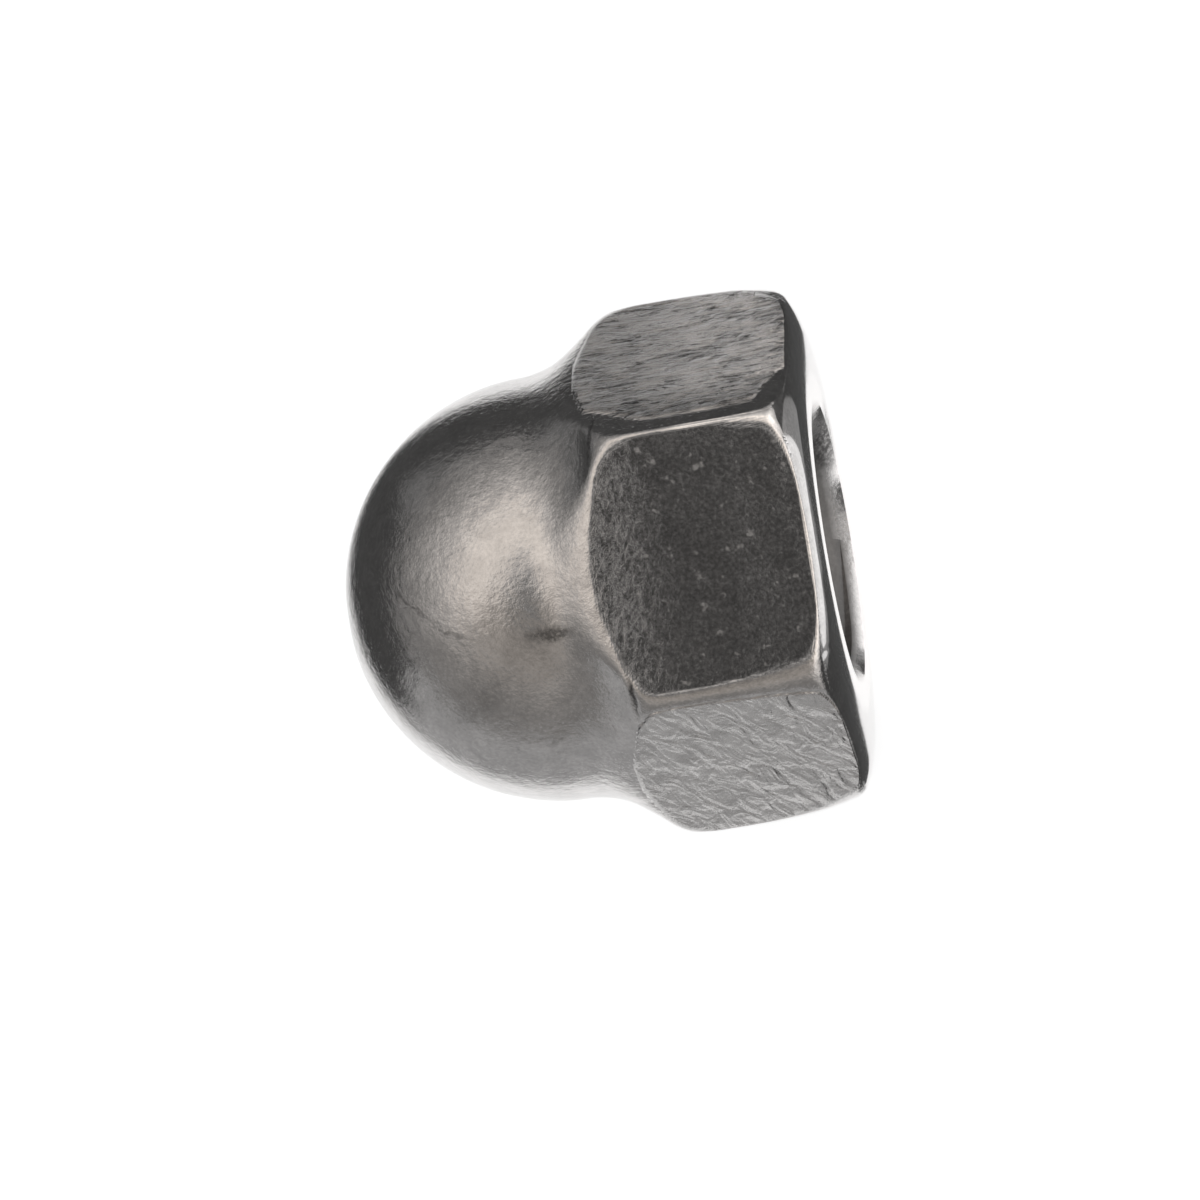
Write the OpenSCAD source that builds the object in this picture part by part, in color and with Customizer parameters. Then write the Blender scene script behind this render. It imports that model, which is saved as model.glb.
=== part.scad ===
// Cap nut (low-crown acorn nut), cold formed in one piece from stainless steel.
// It lies on one of its six flats, with the thread axis along X: the mouth opens
// towards +X, the dome points to -X and +Z rises out of the uppermost flat.
// All sizes are in millimetres.

/* [Hexagon] */
// Width across the flats
across_flats = 11.11; // [10.7:0.01:16]
// Depth by which the six long edges are worn back from a sharp corner
edge_wear = 0.03; // [0.01:0.01:0.3]

/* [Bearing end] */
// Diameter of the flat bearing face
face_d = 10.3; // [8:0.05:11]
// Slope of the chamfer on the bearing end, measured from the face
face_chamfer_angle = 30; // [20:1:40]

/* [Dome] */
// Height of the whole nut, from the bearing face to the nose
nut_height = 11.91; // [11:0.01:18]
// Diameter of the dome
dome_d = 10.25; // [8.5:0.05:10.6]
// Radius of the slightly flattened nose
nose_r = 8; // [6.5:0.5:15]
// Height that the flattened nose takes off the dome
nose_drop = 0.05; // [0.02:0.01:0.15]

/* [Shoulder] */
// Radius that rounds the long edges over into the shoulder
shoulder_round = 1.35; // [0.8:0.05:2]
// Radius of the hollow that runs from the shoulder into the dome
neck_hollow = 2.7; // [2.2:0.05:3.5]
// Distance from the widest point of the dome to the top of the hollow
neck_start = 0.22; // [0.1:0.01:0.6]
// Depth by which the hollow undercuts the foot of the dome
neck_waist = 0.015; // [0.005:0.005:0.05]
// Depth of the faint crease where the shoulder's round and hollow meet
shoulder_crease = 0.01; // [0.005:0.005:0.03]

/* [Threaded hole] */
// Diameter of the bore inside the thread crests
bore_d = 5.1; // [4:0.05:6.3]
// Depth of the full bore, from the bearing face
bore_depth = 8.6; // [6:0.1:8.9]
// Point angle of the drill that leaves the end of the bore
drill_point_angle = 118; // [100:1:140]
// Diameter of the countersink at the mouth
countersink_d = 6.9; // [6.4:0.05:7.9]
// Full angle of the countersink
countersink_angle = 90; // [70:1:120]

/* [Hidden] */
$fn = 96;
overlap = 1;

flat_r = across_flats / 2;
sharp_corner_r = flat_r / cos(30);
corner_r = sharp_corner_r - edge_wear;
dome_r = dome_d / 2;
dome_z = nut_height + nose_drop - dome_r;

// The shoulder is an S of two arcs that meet in a faint crease: the round of the
// long edges turns outwards and the hollow under the dome turns inwards.
hollow_x = dome_r - neck_waist + neck_hollow;
hollow_z = dome_z + neck_start;
round_x = corner_r + neck_waist - shoulder_round;
centre_gap = shoulder_round + neck_hollow - shoulder_crease;
s_rise = sqrt(pow(centre_gap, 2) - pow(hollow_x - round_x, 2));
round_z = hollow_z - s_rise;
meet = (shoulder_round - shoulder_crease / 2) / centre_gap;
meet_x = round_x + (hollow_x - round_x) * meet;
meet_z = round_z + s_rise * meet;

bore_r = bore_d / 2;
point_depth = bore_r / tan(drill_point_angle / 2);
countersink_r = countersink_d / 2;
countersink_depth = (countersink_r - bore_r) / tan(countersink_angle / 2);

// Hexagonal bar with worn long edges, standing on the bearing face. Two of its
// flats face along X.
module hexagon_bar() {
    linear_extrude(nut_height) {
        intersection() {
            rotate(30) circle(r = sharp_corner_r, $fn = 6);
            circle(r = corner_r);
        }
    }
}

// Half outline of the turned form, from the bearing face to the top of the hollow
// under the dome.
module shoulder_outline() {
    outer_r = sharp_corner_r + overlap;
    chamfer_rise = (outer_r - face_d / 2) * tan(face_chamfer_angle);
    difference() {
        polygon([
            [0, 0],
            [face_d / 2, 0],
            [outer_r, chamfer_rise],
            [outer_r, round_z],
            [round_x, round_z],
            [meet_x, meet_z],
            [hollow_x - neck_hollow, hollow_z],
            [0, hollow_z]
        ]);
        translate([hollow_x, hollow_z]) circle(r = neck_hollow);
    }
    intersection() {
        translate([round_x, round_z]) circle(r = shoulder_round);
        translate([0, round_z - shoulder_round / 2]) square(outer_r);
    }
}

// Dome with its flattened nose. Its lower half stays inside the hexagon.
module dome() {
    intersection() {
        translate([0, 0, dome_z]) sphere(r = dome_r);
        translate([0, 0, nut_height - nose_r]) sphere(r = nose_r);
    }
}

// Bore, the drill's point at its end and the countersink at its mouth.
module threaded_hole() {
    mouth_r = countersink_r + overlap * tan(countersink_angle / 2);
    translate([0, 0, -overlap]) cylinder(h = bore_depth + overlap, r = bore_r);
    translate([0, 0, bore_depth]) cylinder(h = point_depth, r1 = bore_r, r2 = 0);
    translate([0, 0, -overlap])
        cylinder(h = countersink_depth + overlap, r1 = mouth_r, r2 = bore_r);
}

// The whole nut, standing on its bearing face.
module standing_nut() {
    difference() {
        union() {
            intersection() {
                hexagon_bar();
                rotate_extrude() shoulder_outline();
            }
            dome();
        }
        threaded_hole();
    }
}

module cap_nut() {
    color("silver")
        translate([nut_height / 2, 0, flat_r])
            rotate([0, -90, 0])
                standing_nut();
}

cap_nut();
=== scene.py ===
"""Cap nut: the finished look of a low-crown hexagon cap nut in tumbled stainless steel.

The nut is one piece. Its outer skin is turned about the thread axis and pressed back to the
hexagon, and the hole is then drilled, countersunk and tapped out of it. Lengths are in
millimetres until a finished mesh is brought to metres in its place.
"""

import logging
import math
from dataclasses import dataclass
from enum import Enum
from functools import partial, reduce

import bmesh
import bpy
from mathutils import Matrix, Vector, noise


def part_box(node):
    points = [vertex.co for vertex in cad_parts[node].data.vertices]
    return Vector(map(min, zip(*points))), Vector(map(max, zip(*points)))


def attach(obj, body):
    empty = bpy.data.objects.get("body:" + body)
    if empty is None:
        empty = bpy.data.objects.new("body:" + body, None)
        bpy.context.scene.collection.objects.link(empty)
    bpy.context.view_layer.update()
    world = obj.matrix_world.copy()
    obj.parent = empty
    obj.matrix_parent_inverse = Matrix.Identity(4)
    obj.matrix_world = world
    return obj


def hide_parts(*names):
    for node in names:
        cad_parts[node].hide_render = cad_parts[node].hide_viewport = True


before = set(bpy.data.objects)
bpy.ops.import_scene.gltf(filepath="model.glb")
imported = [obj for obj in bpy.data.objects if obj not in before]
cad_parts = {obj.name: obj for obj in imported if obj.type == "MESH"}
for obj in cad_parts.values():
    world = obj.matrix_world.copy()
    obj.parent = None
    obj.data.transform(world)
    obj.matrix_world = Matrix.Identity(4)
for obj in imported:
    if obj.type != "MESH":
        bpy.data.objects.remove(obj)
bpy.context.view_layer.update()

log = logging.getLogger("cap_nut")

MM = 0.001
NODE = "cap_nut"


@dataclass(frozen=True)
class NutSizes:
    """Overall sizes of the nut in millimetres, with the thread axis along X.

    Attributes:
        height: Length along the thread axis.
        flat_r: Distance from the thread axis to a flat.
        face_x: Place of the bearing face along X.
    """

    height: float
    flat_r: float
    face_x: float

    @classmethod
    def from_node(cls, node: str) -> "NutSizes":
        """Reads the sizes from a CAD node's box.

        Args:
            node: Name of the CAD node.

        Returns:
            The sizes of that node.
        """
        low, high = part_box(node)
        return cls((high.x - low.x) / MM, (high.z - low.z) / 2 / MM, high.x / MM)

    @property
    def sharp_corner_r(self) -> float:
        """Distance from the thread axis to an unworn long edge."""
        return self.flat_r / math.cos(math.radians(30))

    def turned(self) -> Matrix:
        """Matrix that turns a shape drawn along its depth so that the mouth faces +X."""
        return Matrix.Translation((self.face_x, 0, 0)) @ Matrix.Rotation(math.pi, 4, "Z")

    def placed(self) -> Matrix:
        """Matrix from millimetres about the thread axis to metres in the nut's place."""
        return Matrix.Scale(MM, 4) @ Matrix.Translation((0, 0, self.flat_r))


def sine(degrees: float) -> float:
    """Sine of an angle in degrees."""
    return math.sin(math.radians(degrees))


def cosine(degrees: float) -> float:
    """Cosine of an angle in degrees."""
    return math.cos(math.radians(degrees))


def soft_min(first: float, second: float, blend: float) -> float:
    """Gives the smaller of two lengths, rounded over where they are nearly equal.

    Args:
        first: First length.
        second: Second length.
        blend: Difference below which the two are blended.

    Returns:
        The rounded minimum.
    """
    overlap = max(blend - abs(first - second), 0.0)
    return min(first, second) - overlap * overlap / (4.0 * blend)


def ease(value: float, low: float, high: float) -> float:
    """Eases from 0 at low to 1 at high.

    Args:
        value: Value to ease.
        low: Value that gives 0.
        high: Value that gives 1.

    Returns:
        The eased share.
    """
    share = min(max((value - low) / (high - low), 0.0), 1.0)
    return share * share * (3.0 - 2.0 * share)


class OutlinePen:
    """Draws a chain of edges in the X-Z plane: x is the depth from the face, z the radius."""

    def __init__(self, bm: bmesh.types.BMesh, depth: float, radius: float) -> None:
        """Puts the pen down.

        Args:
            bm: Mesh that takes the chain.
            depth: Depth of the first vertex.
            radius: Radius of the first vertex.
        """
        self.bm = bm
        self.tip = bmesh.ops.create_vert(bm, co=(depth, 0.0, radius))["vert"][0]

    def line(self, depth: float, radius: float, steps: int = 1) -> "OutlinePen":
        """Adds a straight stretch.

        Args:
            depth: Depth at its end.
            radius: Radius at its end.
            steps: Number of equal edges.

        Returns:
            The pen.
        """
        move = (Vector((depth, 0.0, radius)) - self.tip.co) / steps
        for _ in range(steps):
            self.tip = bmesh.ops.extrude_vert_indiv(self.bm, verts=[self.tip])["verts"][0]
            bmesh.ops.translate(self.bm, verts=[self.tip], vec=move)
        return self

    def arc(self, depth: float, radius: float, degrees: float, steps: int) -> "OutlinePen":
        """Adds a round stretch.

        Args:
            depth: Depth of the arc's centre.
            radius: Radius at which the arc's centre lies.
            degrees: Angle swept, positive from outwards towards the depth.
            steps: Number of equal edges.

        Returns:
            The pen.
        """
        made = bmesh.ops.spin(
            self.bm,
            geom=[self.tip],
            cent=(depth, 0.0, radius),
            axis=(0.0, 1.0, 0.0),
            angle=math.radians(degrees),
            steps=steps,
        )
        ends = [item for item in made["geom_last"] if isinstance(item, bmesh.types.BMVert)]
        self.tip = ends[0]
        return self

    def roll(self, radius: float, lean: float, to_lean: float, steps: int) -> "OutlinePen":
        """Adds a convex stretch that rolls over towards the face.

        Args:
            radius: Its radius.
            lean: Angle of the surface's normal from outwards, at its start.
            to_lean: The same angle at its end.
            steps: Number of equal edges.

        Returns:
            The pen.
        """
        angle = math.radians(lean)
        depth = self.tip.co.x + radius * math.sin(angle)
        return self.arc(depth, self.tip.co.z - radius * math.cos(angle), lean - to_lean, steps)


def turn_outline(bm: bmesh.types.BMesh, steps: int) -> None:
    """Spins a mesh's outline once about the thread axis and closes its seam and poles.

    Args:
        bm: Mesh that holds only the outline.
        steps: Number of steps round.
    """
    bmesh.ops.spin(
        bm,
        geom=bm.verts[:] + bm.edges[:],
        cent=(0.0, 0.0, 0.0),
        axis=(1.0, 0.0, 0.0),
        angle=2.0 * math.pi,
        steps=steps,
        use_merge=True,
    )
    bmesh.ops.remove_doubles(bm, verts=bm.verts[:], dist=1e-5)


def to_mesh(bm: bmesh.types.BMesh, name: str) -> bpy.types.Mesh:
    """Recalculates the normals of a bmesh and makes it a mesh.

    Args:
        bm: Mesh data, freed on return.
        name: Name of the mesh.

    Returns:
        The new mesh.
    """
    bmesh.ops.recalc_face_normals(bm, faces=bm.faces[:])
    mesh = bpy.data.meshes.new(name)
    bm.to_mesh(mesh)
    bm.free()
    return mesh


def add_object(name: str, data: bpy.types.ID | None) -> bpy.types.Object:
    """Links a new object to the scene.

    Args:
        name: Name of the object.
        data: Its mesh, light or camera.

    Returns:
        The object.
    """
    made = bpy.data.objects.new(name, data)
    bpy.context.scene.collection.objects.link(made)
    return made


@dataclass(frozen=True)
class EdgeWear:
    """Rounding of one long edge of the hexagon.

    Attributes:
        degrees: Angle of the edge from the top, towards +Y.
        kept: Blend along the edge's unworn stretch.
        tip: Blend at the edge's end by the mouth.
        reach: Distance from the mouth over which the wear fades.
        corner: Blend of the edge's end with the rounded mouth.
    """

    degrees: float
    kept: float
    tip: float
    reach: float
    corner: float = 0.15

    def angle_to(self, around: float) -> float:
        """Angle from the edge to another angle from the top, from -180 to 180 degrees."""
        return (around - self.degrees + 180.0) % 360.0 - 180.0

    def blend(self, depth: float) -> float:
        """Blend of the two flats at a depth from the bearing face."""
        share = max(0.0, 1.0 - max(depth - 0.7, 0.0) / self.reach)
        return self.kept + (self.tip - self.kept) * share * share


@dataclass(frozen=True)
class Mark:
    """Small dent, nick or fold in the skin.

    Attributes:
        depth: Distance from the bearing face to its middle.
        degrees: Angle from the top, towards +Y.
        length: Half length.
        width: Half width.
        slant: Angle of its length from the thread axis, in degrees.
        sink: How far it is pressed in.
        lip: How far its rim stands up.
        lip_place: Distance of the rim from the middle, as a share of the half sizes.
        lip_tightness: How narrow the rim is.
    """

    depth: float
    degrees: float
    length: float
    width: float
    slant: float
    sink: float
    lip: float = 0.0
    lip_place: float = 1.7
    lip_tightness: float = 3.0

    def push(self, depth: float, around: float, radius: float) -> float:
        """Gives the radial move at a point of the skin.

        Args:
            depth: Distance of the point from the bearing face.
            around: Angle of the point from the top, in degrees.
            radius: Distance of the point from the thread axis.

        Returns:
            The move, negative where the mark presses in.
        """
        reach = self.reach(depth, around, radius)
        from_lip = math.sqrt(reach) - self.lip_place
        return self.lip * math.exp(-self.lip_tightness * from_lip**2) - self.sink * math.exp(-reach)

    def reach(self, depth: float, around: float, radius: float) -> float:
        """Gives the squared distance from the mark's middle, as a share of its half sizes.

        Args:
            depth: Distance of the point from the bearing face.
            around: Angle of the point from the top, in degrees.
            radius: Distance of the point from the thread axis.

        Returns:
            The squared share, 1 at the mark's outline and never above 60.
        """
        along = depth - self.depth
        across = math.radians(around - self.degrees) * radius
        cos, sin = cosine(self.slant), sine(self.slant)
        u = (along * cos + across * sin) / self.length
        v = (across * cos - along * sin) / self.width
        return min(u * u + v * v, 60.0)


@dataclass(frozen=True)
class Blank:
    """Outer form of the nut: the turned outline and the hexagon that it is pressed to.

    Attributes:
        sizes: Overall sizes.
        marks: Dents, nicks and folds of the skin.
        wear: Rounding of the six long edges.
        dome_r: Radius of the dome's side.
        nose_r: Radius of the flatter nose.
        nose_drop: How far the nose stands back from the dome's own round.
        neck_start: Distance from the dome's centre to the middle of the neck's hollow.
        neck_hollow: Radius of the hollow under the dome.
        neck_waist: How far the neck is drawn in below the dome.
        shoulder_round: Radius over which the neck runs out to the hexagon.
        shank_depth: Depth at which the shoulder's slope ends.
        edge_wear: How far the long edges are worn down.
        corner_round: Radius between the corners and the chamfer.
        rim_lean: Lean of the chamfer's normal from outwards where it leaves the corners, in degrees.
        rim_roll: Radius of the chamfer's rolled face.
        crown_lean: The same lean where the chamfer runs into the crown.
        crown_depth: Depth at which it does.
        face_lean: The same lean where the crown runs into the bearing face.
        face_ring: Radius of a ring of edges on the bearing face, just outside the countersink.
        end_round: Radius at the mouth's end of a flat.
        mouth_blend: Blend of the flats with the chamfer.
        shoulder_blend: Blend of the flats with the shoulder.
        shoulder_fill: How far the shoulder swells over the middle of a flat.
        corner_blend: Blend of the corners with the shoulder.
        waviness: Height of the skin's slow waves.
        steps: Steps round the form.
        crowding: How far the steps draw together at the long edges.
        hexagon_reach: Radius from which and depth to which the form meets the hexagon.
    """

    sizes: NutSizes
    marks: tuple[Mark, ...]
    wear: tuple[EdgeWear, ...]
    dome_r: float = 5.125
    nose_r: float = 8.0
    nose_drop: float = 0.05
    neck_start: float = 0.22
    neck_hollow: float = 2.7
    neck_waist: float = 0.015
    shoulder_round: float = 1.35
    shank_depth: float = 3.2
    edge_wear: float = 0.03
    corner_round: float = 0.8
    rim_lean: float = 66.0
    rim_roll: float = 2.54
    crown_lean: float = 85.0
    crown_depth: float = 0.07
    face_lean: float = 87.2
    face_ring: float = 4.0
    end_round: float = 0.2
    mouth_blend: float = 0.15
    shoulder_blend: float = 0.4
    shoulder_fill: float = 0.14
    corner_blend: float = 0.12
    waviness: float = 0.006
    steps: int = 432
    crowding: float = 0.66
    hexagon_reach: tuple[float, float] = (4.9, 6.5)

    def build(self) -> bmesh.types.BMesh:
        """Makes the solid outer form, without its hole.

        Returns:
            The form in millimetres about the thread axis, with the mouth towards +X.
        """
        bm = bmesh.new()
        self.draw(bm)
        turn_outline(bm, self.steps)
        bmesh.ops.transform(bm, matrix=self.sizes.turned(), verts=bm.verts[:])
        for vert in bm.verts:
            self.press(vert)
        return bm

    def draw(self, bm: bmesh.types.BMesh) -> None:
        """Draws the half outline from the nose on the axis to the middle of the face.

        Args:
            bm: Mesh that takes the outline.
        """
        height = self.sizes.height
        corner_r = self.sizes.sharp_corner_r - self.edge_wear
        dome_x = height + self.nose_drop - self.dome_r
        nose_x = height - self.nose_r
        gap = dome_x - nose_x
        rim = (self.nose_r**2 - self.dome_r**2 + gap**2) / (2 * gap)
        nose_sweep = math.degrees(math.acos(rim / self.nose_r))
        dome_from = math.degrees(math.acos((rim - gap) / self.dome_r))

        hollow_x = dome_x + self.neck_start
        hollow_z = self.dome_r - self.neck_waist + self.neck_hollow
        round_z = corner_r + self.neck_waist - self.shoulder_round
        centres = self.shoulder_round + self.neck_hollow
        slope = math.degrees(math.acos((hollow_z - round_z) / centres))
        round_x = hollow_x - centres * sine(slope)
        dome_to, hollow_from, flank = 86.5, 5.0, 12.0
        foot_x, foot_z = self.neck_hollow * sine(hollow_from), self.neck_hollow * cosine(hollow_from)

        pen = OutlinePen(bm, height, 0.0)
        pen.arc(nose_x, 0.0, -nose_sweep, 10)
        pen.arc(dome_x, 0.0, -(dome_to - dome_from), 38)
        pen.line(hollow_x - foot_x, hollow_z - foot_z, 3)
        pen.arc(hollow_x, hollow_z, slope - hollow_from, 28)
        pen.arc(round_x, round_z, -(slope - flank), 13)
        rise = (pen.tip.co.x - self.shank_depth) * math.tan(math.radians(flank))
        pen.line(self.shank_depth, pen.tip.co.z + rise, 8)
        rim_depth = self.crown_depth + self.rim_roll * (sine(self.crown_lean) - sine(self.rim_lean))
        pen.line(rim_depth + self.corner_round * sine(self.rim_lean), corner_r, 9)
        pen.roll(self.corner_round, 0.0, self.rim_lean, 24)
        pen.roll(self.rim_roll, self.rim_lean, self.crown_lean, 30)
        crown_roll = pen.tip.co.x / (sine(self.face_lean) - sine(self.crown_lean))
        pen.roll(crown_roll, self.crown_lean, self.face_lean, 8)
        pen.line(0.0, self.face_ring)
        pen.line(0.0, 0.0)

    def end_recess(self, depth: float) -> float:
        """Distance by which the rounded end of a flat falls back at a depth from the face."""
        rise = min(max(self.crown_depth + self.end_round - depth, 0.0), self.end_round)
        return self.end_round - math.sqrt(self.end_round**2 - rise**2)

    def meet_hexagon(self, depth: float, around: float, radius: float) -> float:
        """Presses the turned form back to the hexagon with its worn edges.

        The flats meet the shoulder softly beyond 3 mm and the chamfer more tightly before it. Both
        blends change with the angle from the nearest long edge, in degrees.

        Args:
            depth: Distance of the point from the bearing face.
            around: Angle of the point from the top, in degrees.
            radius: Radius of the turned form there.

        Returns:
            The radius of the pressed form.
        """
        edge = min(self.wear, key=lambda worn: abs(worn.angle_to(around)))
        off = abs(edge.angle_to(around))
        flat_r = self.sizes.flat_r - self.end_recess(depth)
        hexagon = soft_min(flat_r / cosine(30.0 - off), flat_r / cosine(30.0 + off), edge.blend(depth))
        if depth > 3.0:
            middle = ease(off, 2.0, 18.0)
            blend = self.corner_blend + (self.shoulder_blend - self.corner_blend) * middle
            fill = self.shoulder_fill * middle * (1.0 - ease(depth, 5.2, 6.5))
            return soft_min(radius + fill, hexagon, blend)
        corner = (1.0 - ease(off, 3.0, 12.0)) * (1.0 - ease(depth, 0.7, 1.5))
        return soft_min(radius, hexagon, self.mouth_blend + (edge.corner - self.mouth_blend) * corner)

    def press(self, vert: bmesh.types.BMVert) -> None:
        """Presses one vertex of the turned form back to the hexagon, its wear and its marks.

        Args:
            vert: Vertex of the turned form.
        """
        radius = math.hypot(vert.co.y, vert.co.z)
        if radius < 1e-6:
            return
        depth = self.sizes.face_x - vert.co.x
        turned = math.atan2(vert.co.y, vert.co.z)
        angle = turned + self.crowding / 6.0 * math.sin(6.0 * turned)
        around = math.degrees(angle)
        pressed = radius
        if radius > self.hexagon_reach[0] and depth < self.hexagon_reach[1]:
            pressed = self.meet_hexagon(depth, around, radius)
        for mark in self.marks:
            pressed += mark.push(depth, around, pressed)
        out_y, out_z = math.sin(angle), math.cos(angle)
        spot = Vector((vert.co.x, pressed * out_y, pressed * out_z))
        waves = self.waviness * ease(depth, 0.05, 0.4) * ease(pressed, 0.3, 2.0)
        pressed += waves * noise.noise(spot * 0.9 + Vector((3.1, 7.7, 1.9)))
        pressed += waves * 0.35 * noise.noise(spot * 2.6 + Vector((11.3, 0.4, 5.2)))
        vert.co.y, vert.co.z = out_y * pressed, out_z * pressed


@dataclass(frozen=True)
class ThreadedHole:
    """Drilled, countersunk and tapped hole, as the cutters that make it.

    Attributes:
        sizes: Overall sizes.
        bore_r: Radius of the bore inside the thread crests.
        depth: Depth of the full bore.
        point_degrees: Point angle of the drill.
        sink_r: Radius of the countersink at the face.
        sink_degrees: Full angle of the countersink.
        pitch: Distance from one thread to the next.
        major_r: Radius of the thread's root flat.
        full_thread: Depth of the last full thread.
        drill_steps: Steps round the drill and countersink.
        tap_steps: Steps round one turn of the tap.
        start: Depth at which the cutters begin, outside the face.
        overlap: How far the tap reaches into the space of the drill.
    """

    sizes: NutSizes
    bore_r: float = 2.55
    depth: float = 8.6
    point_degrees: float = 118.0
    sink_r: float = 3.45
    sink_degrees: float = 90.0
    pitch: float = 1.27
    major_r: float = 3.2
    full_thread: float = 5.9
    drill_steps: int = 144
    tap_steps: int = 96
    start: float = -1.0
    overlap: float = 0.15

    def drill(self) -> bmesh.types.BMesh:
        """Makes the form of the drill and countersink.

        Returns:
            The cutter in millimetres about the thread axis, with the mouth towards +X.
        """
        bm = bmesh.new()
        sink = math.tan(math.radians(self.sink_degrees / 2))
        point = self.bore_r / math.tan(math.radians(self.point_degrees / 2))
        pen = OutlinePen(bm, self.start, 0.0)
        pen.line(self.start, self.sink_r - self.start * sink)
        pen.line((self.sink_r - self.bore_r) / sink, self.bore_r, 4)
        pen.line(self.depth, self.bore_r, 12)
        pen.line(self.depth + point, 0.0, 3)
        turn_outline(bm, self.drill_steps)
        bmesh.ops.transform(bm, matrix=self.sizes.turned(), verts=bm.verts[:])
        return bm

    def tap(self) -> bmesh.types.BMesh:
        """Makes the form of the tap: one helical ridge that fades out at its far end.

        Returns:
            The cutter in millimetres about the thread axis, with the mouth towards +X.
        """
        bm = bmesh.new()
        root_r = self.bore_r - self.overlap
        flat = self.pitch / 8
        flank = (self.major_r - root_r) * math.tan(math.radians(30))
        pen = OutlinePen(bm, self.start, root_r)
        pen.line(self.start + flank, self.major_r, 2)
        pen.line(self.start + flank + flat, self.major_r)
        pen.line(self.start + 2 * flank + flat, root_r, 2)
        pen.line(self.start, root_r)
        bmesh.ops.remove_doubles(bm, verts=bm.verts[:], dist=1e-5)
        section = bmesh.ops.contextual_create(bm, geom=bm.edges[:])["faces"]
        ridge_end, fade_end = self.full_thread + 1.6 * self.pitch, self.full_thread + 1.7 * self.pitch
        steps = round((ridge_end - self.start) / self.pitch * self.tap_steps)
        bmesh.ops.spin(
            bm,
            geom=section + bm.edges[:] + bm.verts[:],
            cent=(0.0, 0.0, 0.0),
            axis=(1.0, 0.0, 0.0),
            dvec=(self.pitch / self.tap_steps, 0.0, 0.0),
            angle=2.0 * math.pi * steps / self.tap_steps,
            steps=steps,
        )
        for vert in bm.verts:
            radius = math.hypot(vert.co.y, vert.co.z)
            fade = ease(vert.co.x, self.full_thread, fade_end)
            share = 1.0 - fade * (self.major_r - root_r) / radius
            vert.co.y, vert.co.z = vert.co.y * share, vert.co.z * share
        bmesh.ops.transform(bm, matrix=self.sizes.turned(), verts=bm.verts[:])
        return bm


def cut_away(body: bpy.types.Object, cutters: list[bpy.types.Object]) -> bpy.types.Mesh:
    """Cuts closed forms out of a body and removes the cutters.

    Args:
        body: Object to cut.
        cutters: Closed forms, in order.

    Returns:
        The cut mesh.
    """
    for cutter in cutters:
        tool = body.modifiers.new(cutter.name, "BOOLEAN")
        tool.operation, tool.solver, tool.object = "DIFFERENCE", "EXACT", cutter
    bpy.context.view_layer.update()
    cut = bpy.data.meshes.new_from_object(body.evaluated_get(bpy.context.evaluated_depsgraph_get()))
    body.modifiers.clear()
    for cutter in cutters:
        bpy.data.objects.remove(cutter)
    return cut


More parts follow.
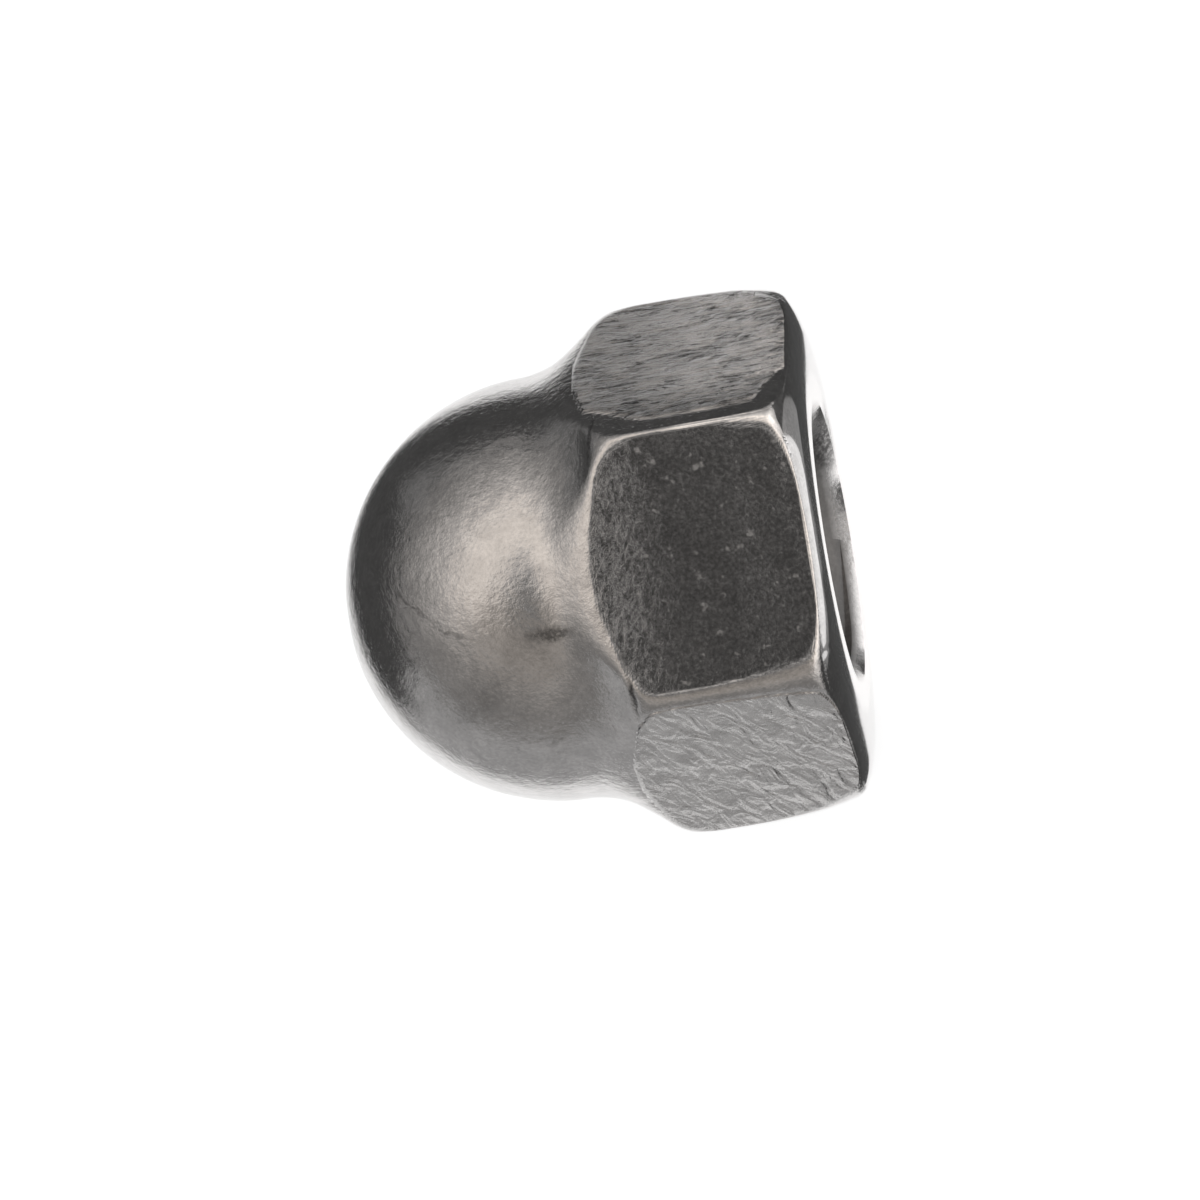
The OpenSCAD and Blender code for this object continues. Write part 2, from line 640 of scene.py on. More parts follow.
class Shader:
    """Short-hand for the nodes of one material or of the world."""

    def __init__(self, owner: bpy.types.Material | bpy.types.World) -> None:
        """Empties the nodes of a material or world.

        Args:
            owner: Material or world.
        """
        owner.use_nodes = True
        self.tree = owner.node_tree
        self.tree.nodes.clear()

    def finish(self, surface: bpy.types.Node, kind: str = "Material") -> None:
        """Links the last shader node to the output, Material or World."""
        output = self.add("ShaderNodeOutput" + kind)
        self.feed(output.inputs["Surface"], surface.outputs[0])

    def add(self, kind: str, **settings: object) -> bpy.types.Node:
        """Adds a node.

        Args:
            kind: Type of the node.
            **settings: Properties set on it.

        Returns:
            The node.
        """
        node = self.tree.nodes.new(kind)
        for key, value in settings.items():
            setattr(node, key, value)
        return node

    def feed(self, socket: bpy.types.NodeSocket, value: object) -> None:
        """Links a socket to an input, or sets the input's value.

        Args:
            socket: Input socket.
            value: Output socket, number, colour or vector.
        """
        if isinstance(value, bpy.types.NodeSocket):
            self.tree.links.new(value, socket)
        else:
            socket.default_value = value

    def math(self, operation: str, *values: object, clamp: bool = False) -> bpy.types.NodeSocket:
        """Adds a Math node.

        Args:
            operation: Its operation.
            *values: Numbers or sockets.
            clamp: Whether the result is kept from 0 to 1.

        Returns:
            The result.
        """
        node = self.add("ShaderNodeMath", operation=operation, use_clamp=clamp)
        for socket, value in zip(node.inputs, values):
            self.feed(socket, value)
        return node.outputs[0]

    def times(self, *factors: object) -> object:
        """Multiplies numbers or sockets, from the first to the last."""
        return reduce(partial(self.math, "MULTIPLY"), factors)

    def plus(self, *parts: object) -> object:
        """Adds numbers or sockets, from the first to the last."""
        return reduce(partial(self.math, "ADD"), parts)

    def glow(self, level: object) -> bpy.types.Node:
        """Adds an Emission node.

        Args:
            level: Its strength, a number or a socket.

        Returns:
            The node.
        """
        node = self.add("ShaderNodeEmission")
        self.feed(node.inputs["Strength"], level)
        return node

    def seen(self) -> bpy.types.NodeSocket:
        """Tells the rays that look at the backdrop from those that light by it.

        Returns:
            1 for a ray that looks, straight, mirrored or through glass, and 0 for the others.
        """
        path = self.add("ShaderNodeLightPath").outputs
        looks = self.math("MAXIMUM", path["Is Camera Ray"], path["Is Glossy Ray"])
        return self.math("MAXIMUM", looks, path["Is Transmission Ray"])

    def span(self, value: object, low: float, high: float, to_low: float = 0.0,
             to_high: float = 1.0) -> bpy.types.NodeSocket:
        """Maps a range of a value to another, clamped and with eased ends.

        Args:
            value: Number or socket.
            low: Value that gives to_low.
            high: Value that gives to_high.
            to_low: Result at the low end.
            to_high: Result at the high end.

        Returns:
            The mapped value.
        """
        node = self.add("ShaderNodeMapRange", interpolation_type="SMOOTHSTEP")
        for socket, number in zip(node.inputs, (value, low, high, to_low, to_high)):
            self.feed(socket, number)
        return node.outputs[0]

    def blend(self, share: object, first: object, second: object) -> bpy.types.NodeSocket:
        """Mixes two numbers.

        Args:
            share: Share of the second.
            first: First number.
            second: Second number.

        Returns:
            The mixed number.
        """
        node = self.add("ShaderNodeMix", data_type="FLOAT")
        for socket, value in zip((node.inputs[0], node.inputs[2], node.inputs[3]), (share, first, second)):
            self.feed(socket, value)
        return node.outputs[0]

    def tint(self, colour: object, shade: object) -> bpy.types.NodeSocket:
        """Darkens or brightens a colour.

        Args:
            colour: The colour.
            shade: Factor by which it is multiplied.

        Returns:
            The new colour.
        """
        node = self.add("ShaderNodeMix", data_type="RGBA", blend_type="MULTIPLY")
        for socket, value in zip((node.inputs[0], node.inputs[6], node.inputs[7]), (1.0, colour, shade)):
            self.feed(socket, value)
        return node.outputs[2]

    def noise(self, point: object, scale: float, detail: float = 2.0, rough: float = 0.5,
              warp: float = 0.0) -> bpy.types.NodeSocket:
        """Adds a noise texture.

        Args:
            point: Coordinates.
            scale: Noise scale.
            detail: Octaves.
            rough: Roughness of the octaves.
            warp: Distortion.

        Returns:
            The noise from 0 to 1.
        """
        node = self.add("ShaderNodeTexNoise")
        self.feed(node.inputs["Vector"], point)
        for key, value in (("Scale", scale), ("Detail", detail), ("Roughness", rough), ("Distortion", warp)):
            node.inputs[key].default_value = value
        return node.outputs["Fac"]

    def place(self, point: object, scale: tuple[float, float, float],
              turn: tuple[float, float, float] = (0.0, 0.0, 0.0)) -> bpy.types.NodeSocket:
        """Turns coordinates by degrees and then scales them.

        Args:
            point: Coordinates.
            scale: Scale along each turned axis.
            turn: Turn about X, Y and Z in degrees.

        Returns:
            The new coordinates.
        """
        turned = self.add("ShaderNodeMapping")
        self.feed(turned.inputs["Vector"], point)
        turned.inputs["Rotation"].default_value = [math.radians(angle) for angle in turn]
        scaled = self.add("ShaderNodeMapping")
        self.feed(scaled.inputs["Vector"], turned.outputs[0])
        scaled.inputs["Scale"].default_value = scale
        return scaled.outputs[0]


class Finish(Enum):
    """Finishes of the nut's surfaces, each a vertex attribute of the mesh.

    Attributes:
        DRAWN: Flat beside the top one towards +Y and the flat opposite, with drawn wrinkles.
        SCUFFED: Top and bottom flats, with fine strokes and specks.
        WAVY: Flat beside the top one towards -Y and the flat opposite, with slanting waves.
        CUT: Bore, thread and countersink.
        FACED: Bearing face, and the burnished edge between the top flat and the drawn one, both with a
            painted highlight that lifts their colour.
        TURNED: Chamfer and crown.
        WORN: Other rounded edges between the flats.
    """

    DRAWN = "drawn"
    SCUFFED = "scuffed"
    WAVY = "wavy"
    CUT = "cut"
    FACED = "faced"
    TURNED = "turned"
    WORN = "worn"


@dataclass(frozen=True)
class Polish:
    """How one finish differs from the tumbled skin.

    Attributes:
        finish: The finish.
        rough: Its roughness.
        shade: Factor on its colour beside clean steel; below 1 it is painted shade and above 1 a painted
            highlight.
    """

    finish: Finish
    rough: float
    shade: float = 1.0


@dataclass(frozen=True)
class StainAndPaintedShade:
    """Smudge, scratch or line of dirt on the steel, or a patch of painted shade or a painted dark reflection
    edge.

    Attributes:
        middle: Its middle, in millimetres from the floor under the nut's middle.
        length: Half length.
        width: Half width.
        degrees: Direction of its length from +X towards +Y.
        share: How much it darkens the steel.
    """

    middle: tuple[float, float, float]
    length: float
    width: float
    degrees: float
    share: float

    def cover(self, s: Shader, point: object) -> bpy.types.NodeSocket:
        """Adds the nodes that tell how much of the stain lies on a point.

        Args:
            s: Material.
            point: Coordinates in millimetres.

        Returns:
            The cover, 0 outside the stain.
        """
        moved = s.add("ShaderNodeVectorMath", operation="SUBTRACT")
        s.feed(moved.inputs[0], point)
        moved.inputs[1].default_value = self.middle
        fall = s.add("ShaderNodeTexGradient", gradient_type="SPHERICAL")
        size = (1 / self.length, 1 / self.width, 1 / 1.2)
        s.feed(fall.inputs["Vector"], s.place(moved.outputs[0], size, (0.0, 0.0, -self.degrees)))
        return s.span(fall.outputs["Fac"], 0.0, 0.75, 0.0, self.share)


@dataclass(frozen=True)
class TumbledSteel:
    """Tumbled stainless steel with drawn, scuffed and cut areas.

    Attributes:
        stains_and_painted_shade: Smudges, scratches and dirt, and the painted shade in the countersink and
            the painted dark reflection edge on the dome.
        colour: Reflected colour of clean steel.
        dome_rough: Roughness of the tumbled skin.
        polishes: The finishes, each laid over the ones before it.
    """

    stains_and_painted_shade: tuple[StainAndPaintedShade, ...]
    colour: tuple[float, float, float, float] = (0.56, 0.545, 0.538, 1.0)
    dome_rough: float = 0.15
    polishes: tuple[Polish, ...] = (
        # Painted shade: the scuffed flats' colour is darkened to 0.85.
        Polish(Finish.SCUFFED, 0.115, 0.85),
        Polish(Finish.DRAWN, 0.24),
        Polish(Finish.WAVY, 0.26),
        Polish(Finish.WORN, 0.13),
        # Painted shade: the bore, thread and countersink are darkened to a third.
        Polish(Finish.CUT, 0.5, 0.33),
        # Painted highlight: the bearing face and the edge by the drawn flat are brightened by 1.45.
        Polish(Finish.FACED, 0.1, 1.45),
        Polish(Finish.TURNED, 0.07),
    )

    def material(self) -> bpy.types.Material:
        """Builds the material.

        Returns:
            The material.
        """
        steel = bpy.data.materials.new("tumbled_steel")
        s = Shader(steel)
        p = s.place(s.add("ShaderNodeTexCoord").outputs["Object"], (1 / MM, 1 / MM, 1 / MM))
        split = s.add("ShaderNodeSeparateXYZ")
        s.feed(split.inputs[0], p)
        x, y = split.outputs["X"], split.outputs["Y"]
        zone = {
            kind: s.add("ShaderNodeAttribute", attribute_name=kind.value).outputs["Fac"] for kind in Finish
        }
        grain = s.noise(p, 11.0, 3.0, 0.7)
        mottle = s.noise(p, 1.5, 4.0, 0.6, 0.6)
        specks = s.span(s.noise(p, 3.4, 2.0, 0.6), 0.63, 0.74, 0.0, 0.12)
        dirt_and_painted_shade = self.dirt_and_painted_shade(s, p)

        rough = self.dome_rough
        shade = s.times(s.span(grain, 0.25, 0.75, 0.9, 1.1), s.span(mottle, 0.3, 0.7, 0.9, 1.08))
        for polish in self.polishes:
            rough = s.blend(zone[polish.finish], rough, polish.rough)
            if polish.shade != 1.0:
                shade = s.times(shade, s.blend(zone[polish.finish], 1.0, polish.shade))
        rough = s.plus(rough, s.span(grain, 0.3, 0.7, -0.02, 0.03), s.times(specks, zone[Finish.SCUFFED]))
        # Painted reflection on the drawn flats: darker towards the dome and brighter at the mouth, and darker
        # by the edge next to the top flat; the drawn flat opposite, below that edge in Y, keeps the darkest
        # share throughout.
        drawn = s.times(s.span(x, 1.2, 5.4, 0.55, 1.12), s.span(y, 3.3, 4.4, 0.4, 1.0))
        shade = s.times(shade, s.blend(zone[Finish.DRAWN], 1.0, drawn), s.math("SUBTRACT", 1.0, dirt_and_painted_shade))

        shader = s.add("ShaderNodeBsdfPrincipled")
        shader.inputs["Metallic"].default_value = 1.0
        s.feed(shader.inputs["Base Color"], s.tint(self.colour, shade))
        s.feed(shader.inputs["Roughness"], s.plus(rough, s.times(dirt_and_painted_shade, 0.2)))
        bump = s.add("ShaderNodeBump")
        bump.inputs["Distance"].default_value = MM
        s.feed(bump.inputs["Height"], self.relief(s, p, x, zone, grain))
        s.feed(shader.inputs["Normal"], bump.outputs[0])
        s.finish(shader)
        return steel

    def dirt_and_painted_shade(self, s: Shader, p: object) -> bpy.types.NodeSocket:
        """Adds the smudges, dirt and painted shade together, broken up by fine noise.

        Args:
            s: Material.
            p: Coordinates in millimetres.

        Returns:
            The share of dirt and painted shade.
        """
        warped = s.add("ShaderNodeVectorMath", operation="ADD")
        s.feed(warped.inputs[0], p)
        s.feed(warped.inputs[1], s.times(s.math("SUBTRACT", s.noise(p, 4.0, 3.0, 0.6), 0.5), 0.3))
        total = s.plus(*(dark_patch.cover(s, warped.outputs[0]) for dark_patch in self.stains_and_painted_shade))
        return s.math("MULTIPLY", total, s.span(s.noise(p, 9.0, 2.0, 0.6), 0.3, 0.6, 0.55, 1.0), clamp=True)

    def relief(self, s: Shader, p: object, x: bpy.types.NodeSocket, zone: dict[Finish, bpy.types.NodeSocket],
               grain: bpy.types.NodeSocket) -> bpy.types.NodeSocket:
        """Adds the fine relief of every finish.

        Args:
            s: Material.
            p: Coordinates in millimetres.
            x: Coordinate along the thread axis.
            zone: Share of each finish.
            grain: Fine grain.

        Returns:
            The height in millimetres.
        """
        wrinkles = s.noise(s.place(p, (2.0, 6.5, 6.5), (0.0, 0.0, 2.0)), 1.0, 4.0, 0.62, 1.1)
        patches = s.span(s.noise(p, 1.3, 2.0, 0.5), 0.38, 0.62, 0.5, 1.3)
        drag = s.noise(s.place(p, (0.9, 2.4, 2.4), (0.0, 0.0, 2.0)), 1.0, 2.0, 0.5, 0.8)
        waves = s.noise(s.place(p, (2.6, 1.0, 1.0), (-60.0, 0.0, -23.0)), 1.0, 3.0, 0.5, 0.8)
        strokes = s.noise(s.place(p, (6.5, 3.6, 3.6), (0.0, 0.0, 16.0)), 1.0, 3.0, 0.65, 1.5)
        stroke_height = s.span(x, 2.9, 1.0, 0.001, 0.0065)
        smooth = s.math("ADD", zone[Finish.TURNED], zone[Finish.FACED], clamp=True)
        skin = s.blend(smooth, s.blend(zone[Finish.SCUFFED], 0.009, 0.0014), 0.0)
        return s.plus(
            s.times(s.noise(p, 3.2, 3.0, 0.6), s.times(skin, 2.2)),
            s.times(grain, s.blend(zone[Finish.CUT], skin, 0.002)),
            s.times(wrinkles, patches, 0.11, zone[Finish.DRAWN]),
            s.times(drag, 0.12, zone[Finish.DRAWN]),
            s.times(waves, 0.16, zone[Finish.WAVY]),
            s.times(strokes, stroke_height, zone[Finish.SCUFFED]),
        )


@dataclass(frozen=True)
class CapNut:
    """The whole nut.

    Attributes:
        sizes: Overall sizes.
        blank: Outer form.
        hole: Threaded hole.
        steel: Its finish.
        hole_reach: Radius and depth inside which a surface belongs to the hole.
        skin_from: Radius and depth at which the dome's and shoulder's skin begins.
        sharp: Angle above which an edge is shaded sharp, in degrees.
    """

    sizes: NutSizes
    blank: Blank
    hole: ThreadedHole
    steel: TumbledSteel
    hole_reach: tuple[float, float] = (3.3, 9.2)
    skin_from: tuple[float, float] = (5.3, 6.0)
    sharp: float = 32.0

    def build(self) -> bpy.types.Object:
        """Makes the finished nut in its place and hands it to the frame.

        Returns:
            The nut's object.
        """
        body = add_object("cap_nut_body", to_mesh(self.blank.build(), "cap_nut_body"))
        cutters = [
            add_object("drill", to_mesh(self.hole.drill(), "drill")),
            add_object("tap", to_mesh(self.hole.tap(), "tap")),
        ]
        body.data = cut_away(body, cutters)
        self.mark_finishes(body.data)
        body.data.transform(self.sizes.placed())
        body.data.shade_smooth()
        body.data.set_sharp_from_angle(angle=math.radians(self.sharp))
        body.data.materials.clear()
        body.data.materials.append(self.steel.material())
        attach(body, "root")
        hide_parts(NODE)
        log.info("%s: %d vertices, %d faces", body.name, len(body.data.vertices), len(body.data.polygons))
        return body

    def mark_finishes(self, mesh: bpy.types.Mesh) -> None:
        """Writes how much of each finish every vertex has.

        Args:
            mesh: Mesh in millimetres about the thread axis.
        """
        shares = [self.finish_at(vert.co, vert.normal) for vert in mesh.vertices]
        for kind in Finish:
            layer = mesh.attributes.new(kind.value, "FLOAT", "POINT")
            layer.data.foreach_set("value", [share.get(kind, 0.0) for share in shares])

    def finish_at(self, point: Vector, normal: Vector) -> dict[Finish, float]:
        """Tells which finishes a point of the nut has.

        Depths are millimetres from the bearing face, and angles are degrees from the top.

        Args:
            point: Point about the thread axis.
            normal: Outward direction there.

        Returns:
            The share of each finish that it has.
        """
        radius, outward = math.hypot(point.y, point.z), math.hypot(normal.y, normal.z)
        depth = self.sizes.face_x - point.x
        if depth < 0.004 and radius > self.hole.sink_r - 0.01:
            return {Finish.FACED: 1.0}
        in_sink = radius < self.hole.sink_r + 0.02 and normal.x > 0.3 and depth < 1.0
        if in_sink or (radius < self.hole_reach[0] and depth < self.hole_reach[1]):
            return {Finish.CUT: 1.0}
        turned = (1.0 - ease(outward, 0.4, 0.65)) * (1.0 - ease(depth, 0.8, 1.2))
        if radius < self.skin_from[0] or depth > self.skin_from[1]:
            return {Finish.TURNED: turned}
        around = math.degrees(math.atan2(normal.y, normal.z))
        facet = round(around / 60.0)
        off = abs(around - facet * 60.0)
        flat = ease(outward, 0.986, 0.9992) * (1.0 - ease(off, 2.5, 9.0))
        kind = (Finish.SCUFFED, Finish.DRAWN, Finish.WAVY)[facet % 3]
        if kind is Finish.DRAWN:
            across = (facet * 60.0 - math.degrees(math.atan2(point.y, point.z))) / 30.0
            limit = 0.84 - 0.25 * ease(depth, 3.4, 5.2) - 0.45 * (1.0 - ease(depth, 0.2, 1.2))
            flat *= 1.0 - ease(across, limit - 0.05, limit + 0.03)
        by_edge = 1.0 - ease(abs(around - 30.0), 12.0, 22.0)
        plain = 1.0 - turned
        return {
            kind: flat * plain,
            Finish.TURNED: turned,
            # The edge between the top flat and the drawn one takes the faced finish and with it a painted
            # highlight.
            Finish.FACED: (1.0 - flat) * by_edge * (1.0 - ease(depth, 2.4, 3.4)) * plain,
            Finish.WORN: (1.0 - flat) * (1.0 - ease(depth, 5.0, 6.0)) * plain,
        }


def hide_from_camera(staged: bpy.types.Object) -> None:
    """Leaves an object of the surroundings visible only in the nut's shine."""
    staged.visible_camera = staged.visible_diffuse = staged.visible_shadow = False


@dataclass(frozen=True)
class LightTent:
    """Light tent round the nut, which shows only in its shine.

    Attributes:
        radius: Radius of the tent in metres.
        rings: The angle from straight above in degrees, the level there and its warmth.
        opening: Direction of the dim side from +X towards +Y, in degrees.
        opening_share: Share of the level that the top of the dim side keeps.
        opening_foot: Share of the level that the lower dim side keeps.
        window: Extra level towards +X, near the foot.
        lens: Direction of the dark lens opening as the top flat mirrors it.
        lens_angle: Half angle of the lens opening, in degrees.
        lens_soft: Half width of its soft rim, in degrees.
        lens_level: Share of the level that is left in it.
    """

    radius: float = 0.5
    rings: tuple[tuple[float, float, float], ...] = (
        (0.0, 0.44, 0.01),
        (10.0, 0.48, 0.02),
        (19.0, 0.68, 0.04),
        (28.0, 0.94, 0.08),
        (44.0, 1.06, 0.08),
        (57.0, 0.7, 0.04),
        (74.0, 0.37, 0.03),
        (90.0, 0.2, 0.02),
    )
    opening: float = 252.0
    opening_share: float = 0.36
    opening_foot: float = 0.54
    window: float = 1.3
    lens: tuple[float, float, float] = (-0.113, 0.011, 0.9935)
    lens_angle: float = 5.8
    lens_soft: float = 1.5
    lens_level: float = 0.15

    def build(self) -> bpy.types.Object:
        """Hangs the tent.

        Returns:
            The tent.
        """
        bm = bmesh.new()
        bmesh.ops.create_uvsphere(bm, u_segments=64, v_segments=32, radius=self.radius)
        tent = add_object("light_tent", to_mesh(bm, "light_tent"))
        wall = bpy.data.materials.new("tent_wall")
        s = Shader(wall)
        point = s.add("ShaderNodeTexCoord").outputs["Object"]
        split = s.add("ShaderNodeSeparateXYZ")
        s.feed(split.inputs[0], point)
        x, y, z = (s.math("DIVIDE", part, self.radius) for part in split.outputs)
        polar = s.math("ARCCOSINE", z)
        sides = s.plus(self.side_share(s, x, y, polar), self.window_gain(s, x, polar))
        glow = s.glow(s.times(sides, self.lens_gap(s, point)))
        s.feed(glow.inputs["Color"], self.colour(s, polar))
        s.finish(glow)
        tent.data.materials.append(wall)
        hide_from_camera(tent)
        return tent

    def colour(self, s: Shader, polar: object) -> bpy.types.NodeSocket:
        """Adds the ramp of levels from the top of the tent to its foot.

        Args:
            s: Material.
            polar: Angle from straight above, in radians.

        Returns:
            The colour of the wall, whose brightness is the level.
        """
        ramp = s.add("ShaderNodeValToRGB")
        s.feed(ramp.inputs[0], s.math("DIVIDE", polar, math.pi / 2, clamp=True))
        stops = ramp.color_ramp.elements
        for index, (degrees, level, warmth) in enumerate(self.rings):
            stop = stops[index] if index < 2 else stops.new(1.0)
            stop.position = degrees / 90.0
            stop.color = (level * (1.0 + warmth), level, level * (1.0 - warmth), 1.0)
        return ramp.outputs["Color"]

    def side_share(self, s: Shader, x: object, y: object, polar: object) -> bpy.types.NodeSocket:
        """Adds what the dim side of the tent keeps of its level.

        Args:
            s: Material.
            x: Place along X on the tent, from -1 to 1.
            y: Place along Y on the tent, from -1 to 1.
            polar: Angle from straight above, in radians.

        Returns:
            The share of the level.
        """
        facing = s.plus(s.times(x, cosine(self.opening)), s.times(y, sine(self.opening)))
        across = s.math("DIVIDE", facing, s.math("MAXIMUM", s.math("SINE", polar), 0.05))
        dim = s.times(s.span(across, 0.1, 0.8), s.span(polar, 0.05, 0.3), s.span(polar, 1.15, 1.45, 1.0, 0.0))
        loss = s.span(polar, 0.6, 1.0, 1.0 - self.opening_share, 1.0 - self.opening_foot)
        return s.math("SUBTRACT", 1.0, s.times(dim, loss))

    def window_gain(self, s: Shader, x: object, polar: object) -> bpy.types.NodeSocket:
        """Adds the extra level of the window beyond the mouth, strongest near the floor."""
        return s.times(s.span(x, 0.3, 0.6), self.window, s.span(polar, 0.35, 1.25, 0.1, 1.0))

    def lens_gap(self, s: Shader, point: object) -> bpy.types.NodeSocket:
        """Adds the round opening for the lens.

        Args:
            s: Material.
            point: Point of the tent, in metres.

        Returns:
            The share of the level, 1 outside the opening.
        """
        dot = s.add("ShaderNodeVectorMath", operation="DOT_PRODUCT")
        s.feed(dot.inputs[0], point)
        dot.inputs[1].default_value = [part / self.radius for part in self.lens]
        outer, inner = cosine(self.lens_angle + self.lens_soft), cosine(self.lens_angle - self.lens_soft)
        return s.span(dot.outputs["Value"], outer, inner, 1.0, self.lens_level)


@dataclass(frozen=True)
class Card:
    """Flat card that lies by the nut, off the picture, and shows only in its shine.

    Attributes:
        name: Name of the card.
        level: Brightness of its face.
        outline: Its corners in plan from the nut's middle, in millimetres.
        height: Height above the floor, in millimetres.
    """

    name: str
    level: float
    outline: tuple[tuple[float, float], ...]
    height: float = 0.2

    def build(self, middle: Vector) -> bpy.types.Object:
        """Cuts the card and lays it down.

        Args:
            middle: Point of the floor under the nut's middle, in metres.

        Returns:
            The card.
        """
        bm = bmesh.new()
        corners = [bmesh.ops.create_vert(bm, co=(*spot, self.height))["vert"][0] for spot in self.outline]
        for pair in zip(corners, corners[1:] + corners[:1]):
            bmesh.ops.contextual_create(bm, geom=list(pair))
        bmesh.ops.contextual_create(bm, geom=bm.edges[:])
        bmesh.ops.scale(bm, vec=(MM, MM, MM), verts=bm.verts[:])
        bmesh.ops.translate(bm, vec=middle, verts=bm.verts[:])
        card = add_object(self.name, to_mesh(bm, self.name))
        face = bpy.data.materials.new(self.name)
        s = Shader(face)
        s.finish(s.glow(self.level))
        card.data.materials.append(face)
        hide_from_camera(card)
        return card


@dataclass(frozen=True)
class Studio:
    """Pale floor, world, soft lamp, light tent and cards round the nut.

    Attributes:
        middle: Point of the floor under the nut's middle, in metres.
        tent: Light tent.
        cards: Cards that lie round the nut.
        floor_colour: Grey level of the floor.
        floor_lift: Level at which the floor glows for the rays that look at it.
        world_level: Level at which the world lights the nut.
        lamp_side: Width of the lamp in metres.
        lamp_height: Height of the lamp in metres.
        lamp_level: Level at which the lamp lights the floor below it.
    """

    middle: Vector
    tent: LightTent
    cards: tuple[Card, ...]
    floor_colour: float = 0.86
    floor_lift: float = 0.66
    world_level: float = 0.35
    lamp_side: float = 0.5
    lamp_height: float = 0.9
    lamp_level: float = 0.8

    def build(self) -> None:
        """Sets up the floor, world, lamp, tent and cards."""
        self.floor()
        self.world()
        self.lamp()
        self.tent.build()
        for card in self.cards:
            card.build(self.middle)

    def floor(self) -> None:
        """Lays the pale floor under the whole tent."""
        bm = bmesh.new()
        bmesh.ops.create_circle(bm, cap_ends=True, segments=96, radius=self.tent.radius)
        floor = add_object("studio_floor", to_mesh(bm, "studio_floor"))
        pale = bpy.data.materials.new("pale_floor")
        s = Shader(pale)
        paper = s.add("ShaderNodeBsdfDiffuse")
        paper.inputs["Color"].default_value = (self.floor_colour,) * 3 + (1.0,)
        both = s.add("ShaderNodeAddShader")
        s.feed(both.inputs[0], paper.outputs[0])
        s.feed(both.inputs[1], s.glow(s.times(s.seen(), self.floor_lift)).outputs[0])
        s.finish(both)
        floor.data.materials.append(pale)

    def world(self) -> None:
        """Makes the surroundings white to look at and dim as a light."""
        world = bpy.data.worlds.new("studio")
        bpy.context.scene.world = world
        s = Shader(world)
        back = s.add("ShaderNodeBackground")
        s.feed(back.inputs["Color"], (1.0, 1.0, 1.0, 1.0))
        s.feed(back.inputs["Strength"], s.blend(s.seen(), self.world_level, 1.0))
        s.finish(back, "World")

    def lamp(self) -> None:
        """Hangs the soft lamp that lights the floor from above."""
        data = bpy.data.lights.new("overhead_softbox", "AREA")
        data.shape, data.size = "DISK", self.lamp_side
        data.energy = self.lamp_level * math.pi * self.lamp_height**2
        lamp = add_object("overhead_softbox", data)
        lamp.location = (0.0, 0.0, self.lamp_height)
        lamp.visible_camera = lamp.visible_glossy = False


@dataclass(frozen=True)
class ProductCamera:
    """Long-lens camera that looks down on the nut.

    Attributes:
        sizes: Overall sizes.
        back: Direction from the nut to the camera.
        roll: Angle by which the thread axis rises to the right, in degrees.
        right: Distance of the mouth's middle to the right of the picture's middle.
        up: Distance of the mouth's middle above the picture's middle.
        width: Width of the picture at the nut.
        lens: Focal length of the lens.
        sensor: Width of the sensor.
    """

    sizes: NutSizes
    back: tuple[float, float, float] = (0.114, -0.0112, 1.0)
    roll: float = 9.4
    right: float = 5.71
    up: float = 1.409
    width: float = 28.74
    lens: float = 300.0
    sensor: float = 36.0

    def build(self) -> bpy.types.Object:
        """Makes the scene's camera.

        Returns:
            The camera.
        """
        data = bpy.data.cameras.new("camera")
        data.sensor_width, data.lens = self.sensor, self.lens
        data.clip_start, data.clip_end = 0.01, 5.0
        camera = add_object("camera", data)
        back = Vector(self.back).normalized()
        along = (Vector((1, 0, 0)) - back * back.x).normalized()
        side = back.cross(along)
        right = along * cosine(self.roll) - side * sine(self.roll)
        above = along * sine(self.roll) + side * cosine(self.roll)
        mouth = Vector((self.sizes.face_x, 0.0, self.sizes.flat_r))
        aim = mouth - right * self.right - above * self.up
        spot = aim + back * (self.width * self.lens / self.sensor)
        turn = Matrix((right, above, back)).transposed().to_4x4()
        camera.matrix_world = Matrix.Translation(spot * MM) @ turn
        bpy.context.scene.camera = camera
        return camera


def stains_and_painted_shade() -> tuple[StainAndPaintedShade, ...]:
    """Lists the smudges, scratches and lines of dirt, with a painted dark reflection edge under the dome's
    highlight in the fourth and fifth and painted shade in the countersink in the last.
    """
    return (
        StainAndPaintedShade((-0.66, -1.12, 10.55), 0.85, 0.24, -4.0, 0.6),
        StainAndPaintedShade((-1.3, -1.7, 10.45), 2.4, 0.9, 20.0, 0.16),
        StainAndPaintedShade((-2.7, -2.5, 9.65), 1.2, 0.5, 30.0, 0.2),
        # Painted reflection: these two dark lines draw the lower edge of the dome's highlight.
        StainAndPaintedShade((-3.95, 0.1, 9.55), 0.95, 0.09, -44.0, 0.45),
        StainAndPaintedShade((-3.0, -0.75, 10.05), 0.7, 0.08, -28.0, 0.35),
        StainAndPaintedShade((1.02, 3.25, 10.4), 0.8, 0.08, 80.0, 0.7),
        StainAndPaintedShade((1.06, -2.85, 10.7), 0.7, 0.1, 92.0, 0.85),
        # Painted shade: darkens a patch of the countersink on its +Y side.
        StainAndPaintedShade((5.85, 2.5, 3.35), 0.7, 1.3, 0.0, 0.8),
    )


def marks() -> tuple[Mark, ...]:
    """Lists the nut's dents, nicks and folds."""
    return (
        Mark(4.88, -29.5, 0.60, 0.10, 88.0, 0.03),
        Mark(3.30, -52.5, 0.13, 0.07, 10.0, 0.03, 0.012),
        Mark(0.25, 22.2, 0.07, 0.05, 80.0, 0.03),
        Mark(0.27, -26.0, 0.10, 0.07, 60.0, 0.012),
    )


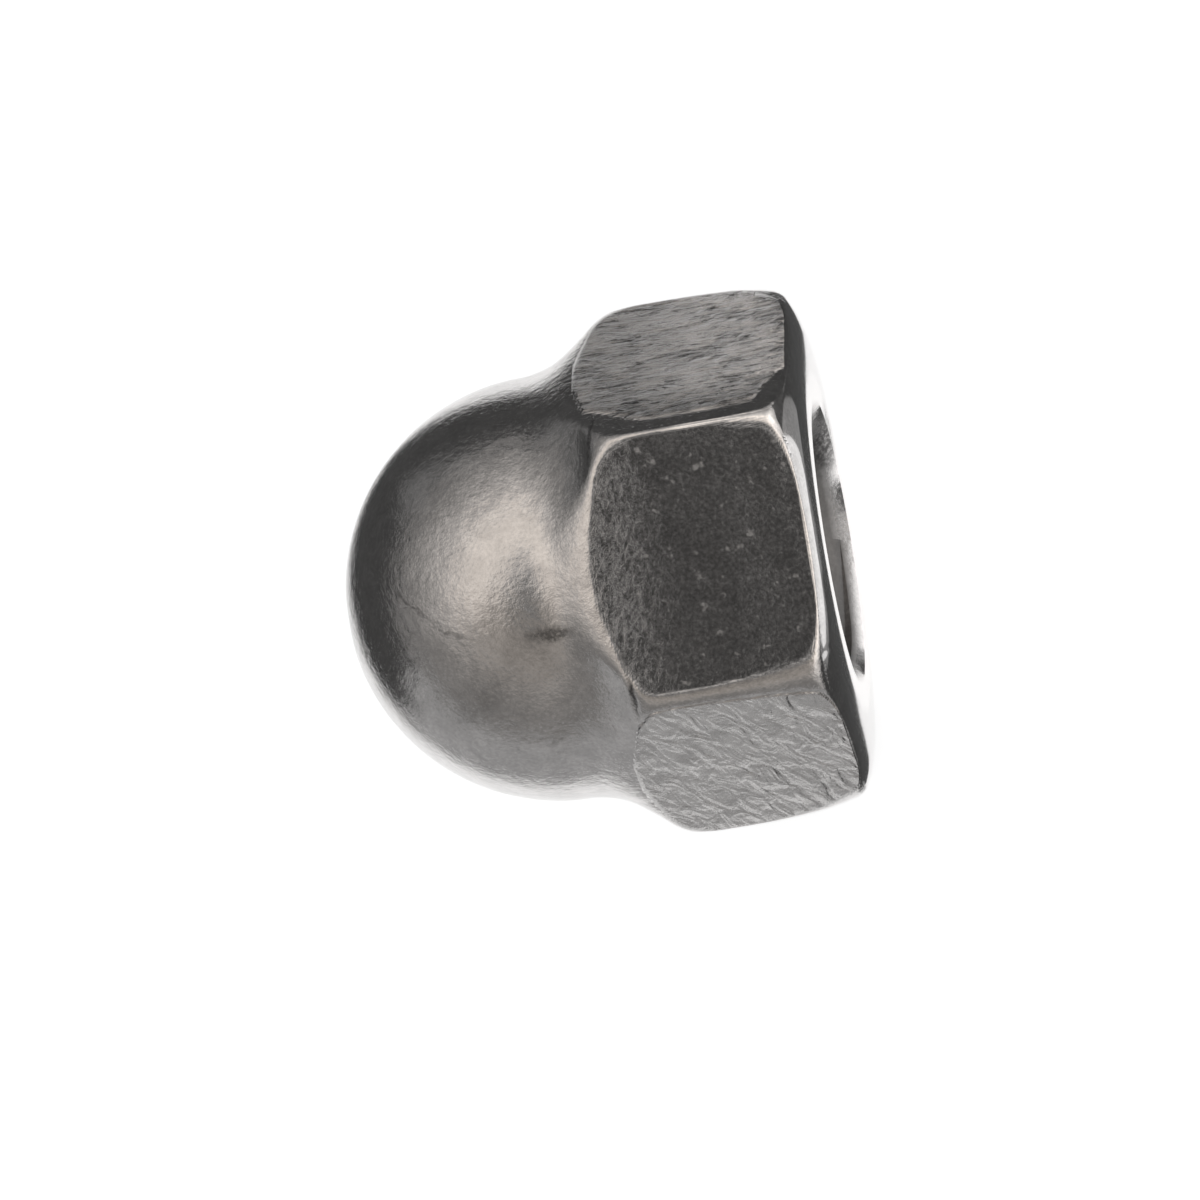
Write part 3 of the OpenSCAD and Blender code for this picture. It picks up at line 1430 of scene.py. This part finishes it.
def wear() -> tuple[EdgeWear, ...]:
    """Lists how the six long edges are rounded."""
    return (
        EdgeWear(30.0, 0.09, 0.16, 1.2),
        EdgeWear(-30.0, 0.32, 0.66, 3.0, 0.2),
        EdgeWear(90.0, 0.11, 0.4, 2.6, 0.42),
        EdgeWear(-90.0, 0.11, 0.8, 2.6, 0.42),
        EdgeWear(150.0, 0.12, 0.4, 3.0),
        EdgeWear(-150.0, 0.12, 0.4, 3.0),
    )


def cards() -> tuple[Card, ...]:
    """Lists the cards that lie round the nut.

    Returns:
        The dark card on the +Y side and along the mouth, the fading and the bright card beyond the
        mouth, the pale card far off beside the dome, and the grey card on the -Y side.
    """
    far = 300.0
    left = ((-far, -100.0), (-51.0, -18.0), (-26.5, -10.4), (-16.3, -9.2), (-13.4, -6.0), (-11.6, -2.8))
    return (
        Card("dark_card", 0.08, (
            *left, (-10.9, 0.0), (-9.0, 2.4), (-6.2, 5.3), (-5.6, 7.2), (-5.1, 9.2), (-3.6, 11.2),
            (-1.6, 12.3), (1.6, 12.6), (5.0, 10.4), (5.9, 8.0), (6.0, 6.5), (6.2, 5.3), (6.5, 4.7),
            (6.75, 4.3), (7.0, 3.7), (7.45, 2.0), (7.6, 0.0), (7.45, -2.0), (7.05, -3.6), (6.9, -4.4),
            (6.55, -5.15), (6.35, -6.0), (6.3, -16.0), (far, -far), (far, far), (-far, far),
        )),
        Card("fading_card", 0.32, (
            (8.45, 0.4), (8.5, -0.6), (9.6, -1.6), (14.0, -4.0), (17.7, -6.6), (20.0, -7.3), (21.5, -4.5),
            (far, -40.0), (far, 125.0), (20.0, 9.0), (11.0, 4.8), (9.2, 3.8), (8.6, 2.4),
        ), 0.3),
        Card("bright_card", 1.2, (
            (9.1, 0.6), (9.3, -0.5), (10.4, -1.4), (14.0, -3.4), (17.7, -5.8), (19.3, -6.2), (20.5, -3.5),
            (far, -30.0), (far, 113.0), (20.0, 6.7), (11.0, 2.9), (9.5, 2.0),
        ), 0.4),
        Card("pale_card", 0.2, ((-16.0, 13.2), (-265.0, 141.0), (-112.0, 278.0)), 0.3),
        Card("grey_card", 0.46, (
            *left, (-10.9, -4.2), (-9.4, -8.0), (-6.3, -10.9), (-2.5, -12.4), (6.3, -13.4), (6.3, -16.0),
            (far, -far), (-far, -far),
        )),
    )


def main() -> None:
    """Builds the nut and its surroundings."""
    logging.basicConfig(level=logging.INFO, format="%(name)s: %(message)s")
    bpy.context.scene.view_settings.view_transform = "Standard"
    sizes = NutSizes.from_node(NODE)
    nut = CapNut(sizes, Blank(sizes, marks(), wear()), ThreadedHole(sizes), TumbledSteel(stains_and_painted_shade())).build()
    low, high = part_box(NODE)
    middle = (low + high) / 2
    Studio(Vector((middle.x, middle.y, 0.0)), LightTent(), cards()).build()
    ProductCamera(sizes).build()
    log.info("%s rides on the root body", nut.name)


if __name__ == "__main__":
    main()
